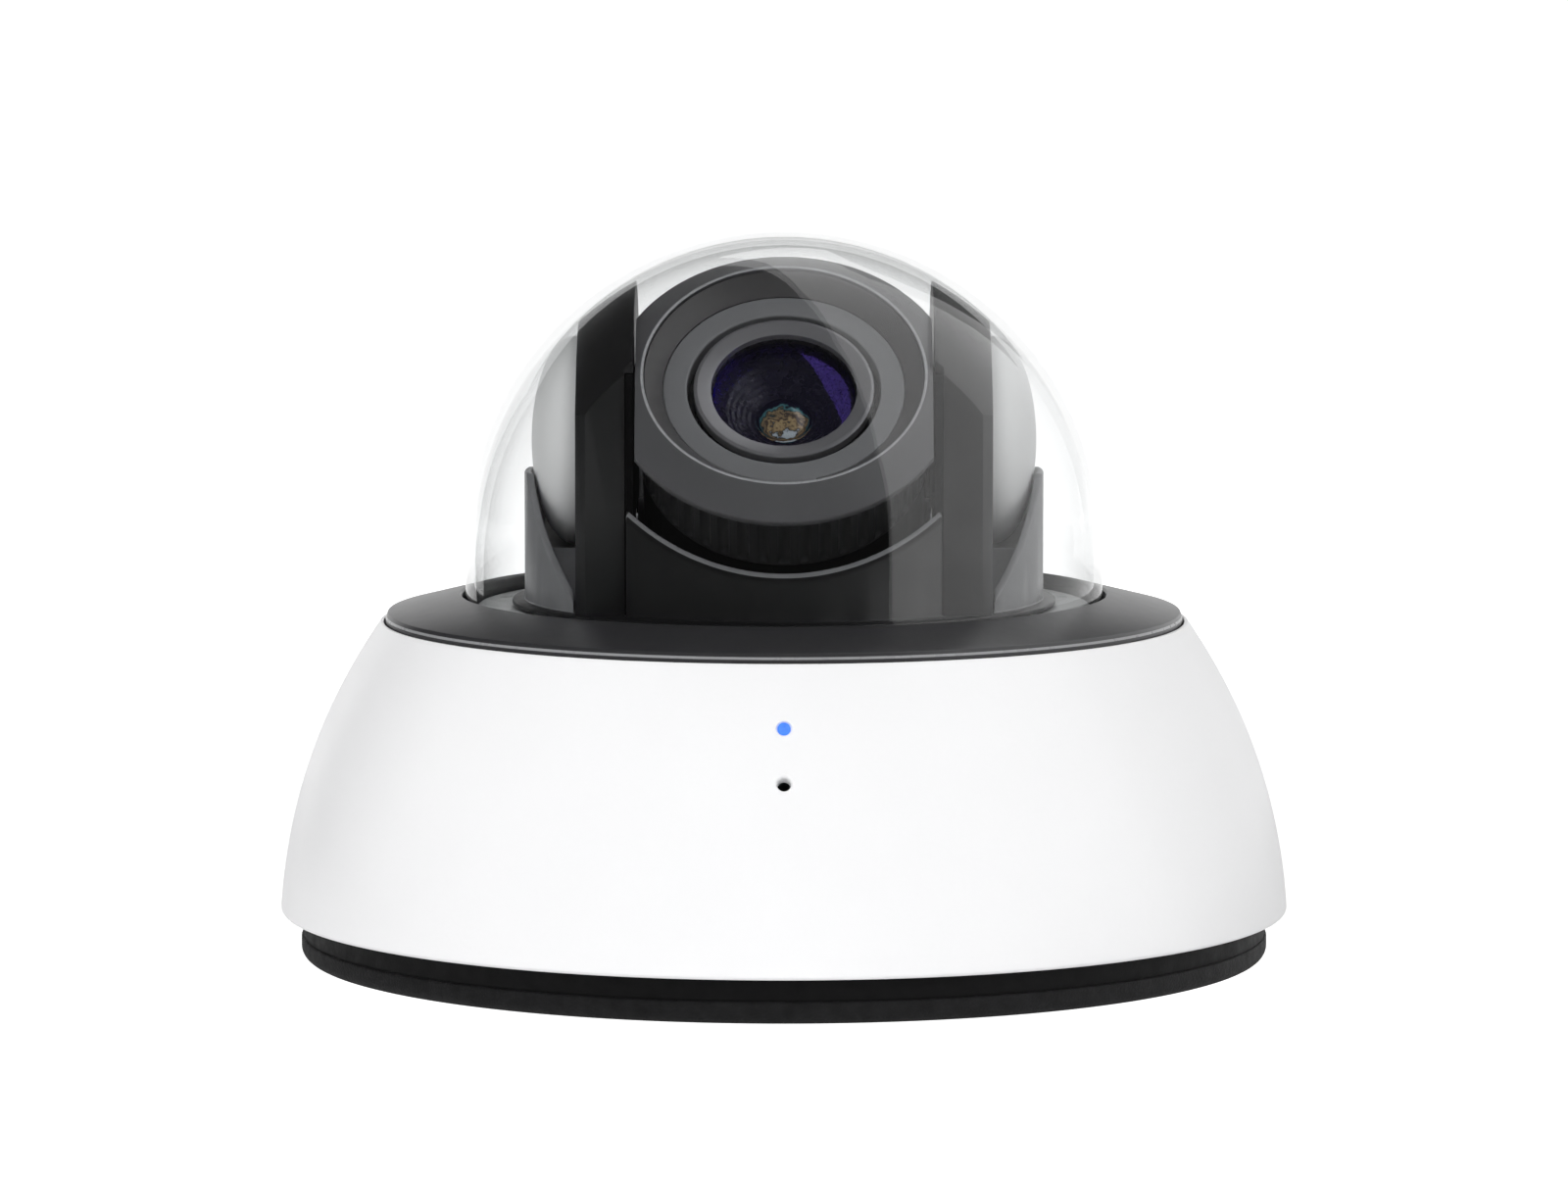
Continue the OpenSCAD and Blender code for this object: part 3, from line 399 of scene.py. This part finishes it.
# ---- New detailed pieces ----
def tint_faces(ob, key, test):
    """Second material, used here for painted highlights, on the faces whose centre, in mm in the row frame,
    passes the test.
    """
    ob.data.materials.append(M[key])
    for p in ob.data.polygons:
        if test(p.center / MM):
            p.material_index = len(ob.data.materials) - 1


# Painted highlight: the pan frame's outer sides above 50 mm get a lighter grey than the black frame,
# standing in for the light they catch
tint_faces(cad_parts["pan_frame"], "frame_side_painted_highlight", lambda c: abs(c.x) > 27 and c.z > 50)


def along(centre):
    """Distance of a point along the lens axis, in mm."""
    return (LENS.inverted() @ centre).z


def many(name, parts):
    """One object from several."""
    verts, faces = [], []
    for ob in parts:
        base = len(verts)
        verts += [tuple(v.co / MM) for v in ob.data.vertices]
        faces += [[base + i for i in p.vertices] for p in ob.data.polygons]
        bpy.data.objects.remove(ob)
    return raw(name, verts, faces)


def brick(name, low, high, at=None):
    (x0, y0, z0), (x1, y1, z1) = low, high
    verts = [(x, y, z) for z in (z0, z1) for y in (y0, y1) for x in (x0, x1)]
    if at is not None:
        verts = [tuple(at @ Vector(v)) for v in verts]
    return raw(name, verts, [(0, 2, 3, 1), (4, 5, 7, 6), (0, 1, 5, 4), (2, 6, 7, 3), (0, 4, 6, 2),
                             (1, 3, 7, 5)])


def post(r, z0, z1, place, seg=48, at=None):
    m = Matrix.Translation(place)
    return lathe("post", [(0, z0), (r, z0), (r, z1), (0, z1)], seg, m if at is None else at @ m)


chord = (TOP_R - COVER_R, COVER_TOP - COVER_Z0)
chord_len = math.hypot(*chord)
leg = math.sqrt(CROWN_R ** 2 - chord_len ** 2 / 4)
ARC_X = (COVER_R + TOP_R) / 2 - leg * chord[1] / chord_len
ARC_Z = (COVER_Z0 + COVER_TOP) / 2 + leg * chord[0] / chord_len


def arc_r(z, inset=0.0):
    return ARC_X + math.sqrt((CROWN_R - inset) ** 2 - (z - ARC_Z) ** 2)


# Cover: crowned wall with a rounded foot, ledge and rebate at the top, screw wells at the back
levels = np.linspace(COVER_Z0, COVER_TOP - 1.2, 30)
outline = [(arc_r(z), z, 0.7 if z == COVER_Z0 else 0) for z in levels]
rebate_r, ledge_in = TRIM_R + 0.25, BUBBLE_R + 7.8
outline += [(TOP_R, COVER_TOP, 0.12), (rebate_r, COVER_TOP, 0.1), (rebate_r, LEDGE_Z)]
outline += [(ledge_in, LEDGE_Z), (ledge_in, LEDGE_BOTTOM)]
outline += [(arc_r(z, COVER_WALL), z, 0.4 if z < COVER_Z0 + 0.1 else 0)
            for z in np.linspace(LEDGE_BOTTOM, COVER_Z0, 30)]
shell = lathe("cover_shell", rounded(outline), 256)
inside = [(0, COVER_Z0)] + [(arc_r(z, 0.4), z) for z in np.linspace(COVER_Z0, 46.5, 30)] + [(0, 46.5)]
places = [(SCREW_R * math.cos(a), SCREW_R * math.sin(a), 0) for a in map(math.radians, SCREW_ANGLES)]
tubes = many("tubes", [post(5, 14, 50, p) for p in places])
combine(tubes, [lathe("limit", inside, 128)], "INTERSECT")
combine(shell, [tubes], "UNION")
well = [(0, 13), (1.9, 13), (1.9, 16), (3.6, 16), (3.6, 60), (0, 60)]
front_z = (LIGHT_Z + MIC_Z) / 2
lean = math.asin((front_z - ARC_Z) / CROWN_R)
reach = math.hypot(LIGHT_Z - MIC_Z, arc_r(LIGHT_Z) - arc_r(MIC_Z)) / 2
FRONT = Matrix.Translation((0, -arc_r(front_z), front_z)) @ Matrix.Rotation(math.pi / 2 - lean, 4, "X")
pin = [(0, -6), (PIN_R, -6), (PIN_R, -0.42), (PIN_R + 0.12, -0.2)]
pin += [(PIN_R + 0.4, 0.05), (PIN_R + 0.4, 3), (0, 3)]
holes = [lathe("well", well, 48, Matrix.Translation(p)) for p in places]
holes += [lathe("pin", pin, 48, FRONT @ Matrix.Translation((0, side * reach, 0))) for side in (-1, 1)]
combine(shell, [many("holes", holes)])
finish_piece(shell, "base", ["outer_cover"], "white_shell", angle=35)

# Trim ring: sloping top, rolled inner edge and a fine outer bevel
trim_in, line_z = BUBBLE_R + 0.47, TRIM_TOP - 2.98
outline = [(trim_in, TRIM_TOP - 0.3, 0.25), (trim_in + 0.3, TRIM_TOP, 0.25),
           (TRIM_R - 0.32, TRIM_TOP - 2.5, 0.2)]
outline += [(TRIM_R - 0.13, line_z), (TRIM_R, TRIM_TOP - 3.3, 0.12), (TRIM_R, LEDGE_Z, 0.05)]
outline += [(ledge_in + 0.2, LEDGE_Z), (ledge_in + 0.2, LEDGE_Z + 1.6), (trim_in + 1.73, LEDGE_Z + 1.6)]
outline += [(trim_in, TRIM_TOP - 1.5)]
trim = finish_piece(lathe("trim_band", rounded(outline), 256), "base", ["trim_ring"], "trim_dark")

# Painted highlight: a light grey band along the trim ring's outer bevel line
tint_faces(trim, "painted_edge_highlight",
           lambda c: math.hypot(c.x, c.y) > TRIM_R - 0.17 and line_z - 0.47 < c.z < line_z)

# Clear bubble with its flange
arc = np.radians(np.linspace(90, 0, 60))
bubble_in, flange_r, flange_top = BUBBLE_R - BUBBLE_WALL, BUBBLE_R + 7.2, FLANGE_Z + 1.3
outline = [(BUBBLE_R * math.cos(a), BUBBLE_Z + BUBBLE_R * math.sin(a)) for a in arc]
outline += [(BUBBLE_R, flange_top + 0.6), (BUBBLE_R + 0.27, flange_top + 0.05), (flange_r, flange_top)]
outline += [(flange_r, FLANGE_Z), (bubble_in, FLANGE_Z)]
outline += [(bubble_in * math.cos(a), BUBBLE_Z + bubble_in * math.sin(a)) for a in arc[::-1]]
outline = [(0.0 if r < 1e-6 else r, z) for r, z in outline]
finish_piece(lathe("bubble_glass", outline, 256), "base", ["bubble"], "clear_dome", angle=50)

# Rubber gasket under the base
outline = [(GASKET_IN, 0, 0.3), (GASKET_R, 0, 1.5), (GASKET_R, GASKET_H, 0.35), (GASKET_IN, GASKET_H, 0.1)]
finish_piece(lathe("gasket_band", rounded(outline, 8), 256), "base", ["base_gasket"], "gasket_rubber")

# Side caps
dome = [(0, 0), (CAP_R - 0.1, 0), (CAP_R, 0.1), (CAP_R, CAP_EDGE)]
dome += [(CAP_R * math.cos(a), CAP_EDGE + CAP_CROWN * math.sin(a))
         for a in np.radians(np.linspace(3, 87, 40))]
dome += [(0, CAP_EDGE + CAP_CROWN)]
for side, name in ((1, "right"), (-1, "left")):
    at = Matrix.Translation((CAP_X * side, 0, CAP_Z)) @ Matrix.Rotation(side * math.pi / 2, 4, "Y")
    finish_piece(lathe("cap_" + name, dome, 160, at), "pan", ["side_cap_" + name], "cap_grey", angle=40)

# Rolled rim on the front wall, cut along a plane square to the lens axis
rim_top = TILT_Z + (FRONT_S - 13.8) * math.sqrt(2)
limit = math.asin(21.4 / WALL_R)
lip_in, lip_out = WALL_R - 0.64, WALL_R + 0.1
section = rounded([(lip_in + 0.02, -0.5), (lip_in, 0.05, 0.2), (lip_out, 0.05, 0.25), (lip_out, -0.5)], 6)
count, verts = 96, []
for i in range(count + 1):
    t = limit * (2 * i / count - 1)
    for r, dz in section:
        verts.append((r * math.sin(t), -r * math.cos(t), rim_top - r * math.cos(t) + dz))
k = len(section)
faces = [(i * k + j, (i + 1) * k + j, (i + 1) * k + (j + 1) % k, i * k + (j + 1) % k)
         for i in range(count) for j in range(k)]
faces += [tuple(range(k)), tuple(count * k + j for j in range(k))[::-1]]
rim = raw("front_rim", verts, faces)
smooth(rim, 40)
# Painted highlight: the rolled rim is real shape, its light grey on the black frame stands in for the light
# it catches
rim.data.materials.append(M["rim_painted_highlight"])
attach(rim, "pan")

# Shroud: cone with flat sides, fine lip and the arch behind its top
outline = [(LIP_R, FRONT_S, 0.08), (LIP_R + 0.35, FRONT_S, 0.14), (HOOD_R, FRONT_S - 2.9, 0.35)]
outline += [(HOOD_R, FRONT_S - 4.1, 0.25), (LIP_R + 1.2, FRONT_S - 1.9), (LIP_R + 1.2, 31), (LIP_R, 31)]
hood = lathe("lens_hood", rounded(outline, 6), 256, LENS)
arch = lathe("arch", rounded([(20.1, 31), (23.4, 31, 0.2), (23.4, 33.0, 0.1), (20.1, 33.0)]), 192, LENS)
combine(arch, [brick("keep", (-HOOD_HALF, 8, 0), (HOOD_HALF, 60, 60), LENS)], "INTERSECT")
sides = [brick("side", (x, -60, 10), (x + 30, 60, 60), LENS) for x in (-HOOD_HALF - 30, HOOD_HALF)]
combine(hood, [many("sides", sides)])
combine(hood, [arch], "UNION")
finish_piece(hood, "tilt", ["shroud"], "shroud_dark", angle=38)
# Painted highlight: the shroud's front lip is light grey on the dark shroud
tint_faces(hood, "painted_edge_highlight", lambda c: along(c) > FRONT_S - 0.1)

# Infrared window, face ring with its tab, and bezel
outline = [(19.05, 36.1, 0.1), (16.5, 33.4, 0.1), (16.5, 32.2), (19.05, 34.9)]
window = lathe("window_cone", rounded(outline), 192, LENS)
combine(window, [brick("notch", (-4.45, -17.5, 31.4), (4.45, -13.5, 37.4), LENS)])
finish_piece(window, "tilt", ["ir_window"], "ir_glass")
outline = [(13.15, 33.4, 0.3), (16.45, 33.4, 0.25), (16.45, 32.4), (14.0, 32.4), (14.0, 29.6),
           (13.15, 29.6)]
face = lathe("face_band", rounded(outline), 192, LENS)
combine(face, [brick("tab", (-4.35, -17.4, 32.4), (4.35, -15.8, 33.36), LENS)], "UNION")
finish_piece(face, "tilt", ["face_ring"], "ring_grey")
bezel_in, bezel_r, bezel_back = GLASS_R + 0.2, BARREL_R + 0.3, BEZEL_S - 1.4
outline = [(bezel_in, BEZEL_S - 0.45, 0.1), (bezel_in + 0.6, BEZEL_S - 0.3, 0.2),
           (bezel_r - 0.5, BEZEL_S, 0.2)]
outline += [(bezel_r, BEZEL_S - 0.1, 0.2), (bezel_r, bezel_back), (bezel_in, bezel_back)]
finish_piece(lathe("bezel_band", rounded(outline), 160, LENS), "roll", ["lens_bezel"], "ring_grey",
             "bezel_grey")

# Barrel with stepped baffles, front glass, and the small rear group
barrel_back, iris_s, cone_s, pocket_s = 13.2, BEZEL_S - 8.4, BEZEL_S - 7.2, BEZEL_S - 4.4
outline = [(5.5, barrel_back), (5.5, iris_s), (IRIS_R, iris_s), (IRIS_R, cone_s)]
cone = list(zip(np.linspace(IRIS_R, 8.25, 7), np.linspace(cone_s, pocket_s, 7)))
for (r0, s0), (r1, s1) in zip(cone, cone[1:]):
    outline += [(r0 + 0.32, s0 + 0.03, 0.04), (r1 - 0.08, s1 - 0.12, 0.04)]
outline += [(8.25, pocket_s), (GLASS_R + 0.1, pocket_s), (GLASS_R + 0.1, bezel_back),
            (BARREL_R, bezel_back, 0.2)]
outline += [(BARREL_R, 22.7), (15.4, 22.7), (15.4, 19.7), (BARREL_R, 19.7), (BARREL_R, barrel_back)]
finish_piece(lathe("barrel_tube", rounded(outline, 3), 160, LENS), "roll", ["lens_barrel"], "barrel_black")
bow_h = 1.4
bow_r = (GLASS_R ** 2 + bow_h ** 2) / (2 * bow_h)
bow = [(r, BEZEL_S - 0.6 - bow_r + math.sqrt(bow_r ** 2 - r ** 2)) for r in np.linspace(GLASS_R, 0, 25)]
back = [(r, pocket_s + 0.9 * (1 - (r / GLASS_R) ** 2)) for r in np.linspace(0, GLASS_R, 13)]
finish_piece(lathe("front_glass", bow + back, 128, LENS), "roll", ["front_lens"], "coated_glass", angle=50)
small_r, small_s = IRIS_R - 0.05, iris_s + 0.2
small = [(0, small_s), (small_r, small_s), (small_r, small_s + 1.2)]
small += [((small_r - 0.15) * math.cos(a), small_s + 1.3 + 1.5 * math.sin(a))
          for a in np.radians(np.linspace(0, 88, 16))]
small += [(0, small_s + 2.8)]
far = [(0, 13.6), (5.4, 13.6), (5.4, 14.8, 0.2), (0, 15.2)]
rear = many("rear_glass", [lathe("small", small, 96, LENS), lathe("far", rounded(far), 64, LENS)])
finish_piece(rear, "roll", ["rear_lens"], "rear_glass", angle=50)

# Knurled ring: scallops that fade out towards both edges
rows = [(KNURL_R - 0.4, 19.2, 0), (KNURL_R, 19.55, 0), (KNURL_R, 20.0, 0)]
rows += [(KNURL_R, s, w)
         for s, w in ((20.3, 0.5), (20.8, 0.9), (21.4, 1), (24, 1), (26.9, 1), (27.5, 0.9), (28.0, 0.5))]
rows += [(KNURL_R, 28.3, 0), (KNURL_R, 28.6, 0), (KNURL_R - 0.35, 29.0, 0)]
rows += [(15.2, 29.0, 0), (15.2, 23.0, 0), (17.0, 23.0, 0), (17.0, 19.2, 0)]
count, verts = TEETH * 16, []
for i in range(count):
    t = 2 * math.pi * i / count
    f = (t * TEETH / (2 * math.pi)) % 1.0
    d = min(f, 1 - f) * 2 * math.pi / TEETH * (KNURL_R + 0.55)
    groove = max(0.0, math.sqrt(max(0, 1.05 ** 2 - d * d)) - 0.55) if d < 1.05 else 0.0
    for r, z, w in rows:
        cut = r - groove * w
        verts.append(tuple(LENS @ Vector((cut * math.cos(t), cut * math.sin(t), z))))
k = len(rows)
faces = [(i * k + j, ((i + 1) % count) * k + j, ((i + 1) % count) * k + (j + 1) % k, i * k + (j + 1) % k)
         for i in range(count) for j in range(k)]
finish_piece(raw("grip_ring", verts, faces), "roll", ["knurled_ring"], "knurl_black", angle=28)


# ---- Floor, light and camera ----
def stage_mesh(name, verts, faces, mat):
    me = bpy.data.meshes.new(name)
    me.from_pydata(verts, [], faces)
    ob = bpy.data.objects.new(name, me)
    scene.collection.objects.link(ob)
    me.materials.append(mat)
    return ob


def plain(name, colour, strength=0.0):
    m = bpy.data.materials.new(name)
    m.use_nodes = True
    bsdf = m.node_tree.nodes["Principled BSDF"]
    bsdf.inputs["Base Color"].default_value = colour
    bsdf.inputs["Roughness"].default_value = 0.9
    bsdf.inputs["Specular IOR Level"].default_value = 0.1
    if strength:
        bsdf.inputs["Emission Color"].default_value = (1, 1, 1, 1)
        bsdf.inputs["Emission Strength"].default_value = strength
    return m


def seen(ob, camera=True, glossy=True, diffuse=True):
    ob.visible_camera, ob.visible_glossy, ob.visible_diffuse = camera, glossy, diffuse


# White table and sweep that light the object and show in it
around = np.linspace(0, 2 * math.pi, 96, endpoint=False)
disc_pts = [(0.42 * math.cos(a), 0.42 * math.sin(a), -0.0001) for a in around]
table_white = plain("table_white", (0.6, 0.6, 0.6, 1), 1.0)
table = stage_mesh("table", disc_pts, [tuple(range(96))], plain("table_top", (0.6, 0.6, 0.6, 1), 0.35))
seen(table, camera=False)
sweep = [(0.3, -0.0001), (2.2, 0.0)]
sweep += [(2.2 + 1.2 * math.sin(a), 1.2 - 1.2 * math.cos(a)) for a in np.linspace(0.1, math.pi / 2, 14)]
verts = [(x, y, z - 0.0001) for y, z in sweep for x in (-0.7 * y, 0.7 * y)]
stage_mesh("sweep", verts, [(2 * i, 2 * i + 1, 2 * i + 3, 2 * i + 2) for i in range(len(sweep) - 1)],
           table_white)
# Wide plain floor and surround for the other views
ring_pts = [(6 * math.cos(a), 6 * math.sin(a)) for a in np.linspace(0, 2 * math.pi, 64, endpoint=False)]
floor = stage_mesh("floor", [(x, y, -0.0004) for x, y in ring_pts], [tuple(range(64))],
                   plain("floor_white", (0.6, 0.6, 0.6, 1), 1.0))
verts, faces = [], []
for i in range(9):
    e = math.radians(10 * i)
    verts += [(x * math.cos(e), y * math.cos(e), 6 * math.sin(e) - 0.001) for x, y in ring_pts]
for i in range(8):
    low, high = i * 64, (i + 1) * 64
    faces += [(low + j, low + (j + 1) % 64, high + (j + 1) % 64, high + j) for j in range(64)]
faces.append(tuple(range(8 * 64, 9 * 64)))
surround = stage_mesh("surround", verts, faces, plain("surround_white", (0.6, 0.6, 0.6, 1), 1.0))
seen(floor, glossy=False, diffuse=False)
seen(surround, glossy=False, diffuse=False)

world = bpy.data.worlds.new("studio")
scene.world = world
world.use_nodes = True
world.node_tree.nodes["Background"].inputs["Color"].default_value = (1, 1, 1, 1)
world.node_tree.nodes["Background"].inputs["Strength"].default_value = 0.04


def softbox(name, place, aim, size, level, mirrored=True):
    """Area light of a given brightness; mirrored says whether glossy surfaces show it."""
    data = bpy.data.lights.new(name, "AREA")
    data.shape = "RECTANGLE"
    data.size, data.size_y = size
    data.energy = level * math.pi * size[0] * size[1]
    ob = bpy.data.objects.new(name, data)
    scene.collection.objects.link(ob)
    ob.location = place
    ob.rotation_euler = (Vector(aim) - Vector(place)).to_track_quat("-Z", "Y").to_euler()
    ob.visible_glossy = mirrored
    return ob


def polar(azimuth, elevation, distance):
    """Place seen from the object; azimuth 0 is the camera's side and grows to the right."""
    a, e = math.radians(azimuth), math.radians(elevation)
    return (distance * math.sin(a) * math.cos(e), -distance * math.cos(a) * math.cos(e),
            distance * math.sin(e))


# Large curved diffuser that leans over the object from the right to the back
left_edge = [(38.4, -6), (38.5, 5), (40.1, 22), (41.8, 39), (48.5, 56), (85, 76), (171, 67.5), (184.5, 49),
             (191, 37)]
right_edge = [(150, -6), (150, 5), (150, 20), (150, 30), (152, 36), (155, 40), (162, 42), (168, 40),
              (174, 34)]
verts, faces = [], []
for (a0, e0), (a1, e1) in zip(left_edge, right_edge):
    u, v = Vector(polar(a0, e0, 1.0)), Vector(polar(a1, e1, 1.0))
    for k in range(9):
        verts.append(tuple((u.lerp(v, k / 8)).normalized() * 1.6 + Vector((0, 0, 0.05))))
faces = [(i * 9 + k, i * 9 + k + 1, (i + 1) * 9 + k + 1, (i + 1) * 9 + k)
         for i in range(8) for k in range(8)]
diffuser = stage_mesh("diffuser", verts, faces, plain("diffuser_white", (0.8, 0.8, 0.8, 1), 0.95))
seen(diffuser, camera=False, diffuse=False)
softbox("left_box", polar(-104, 22, 1.6), (0, 0, 0.05), (0.9, 1.8), 1.7, mirrored=False)
softbox("right_box", polar(104, 22, 1.6), (0, 0, 0.05), (0.9, 1.8), 1.12, mirrored=False)
softbox("key", polar(-56, 6, 1.6), (0, 0, 0.05), (0.6, 1.0), 1.5, mirrored=False)
softbox("fill", polar(3, 40, 1.6), (0, 0, 0.05), (1.9, 1.5), 2.8, mirrored=False)

cam = bpy.data.cameras.new("photo_camera")
cam.sensor_width = 36
cam.lens = 194.27
camera = bpy.data.objects.new("photo_camera", cam)
scene.collection.objects.link(camera)
camera.location = (0, -1.169571, 0.172568)
camera.rotation_euler = (math.radians(84.0591), 0, 0)
scene.camera = camera
scene.view_settings.view_transform = "Standard"

bpy.context.view_layer.update()
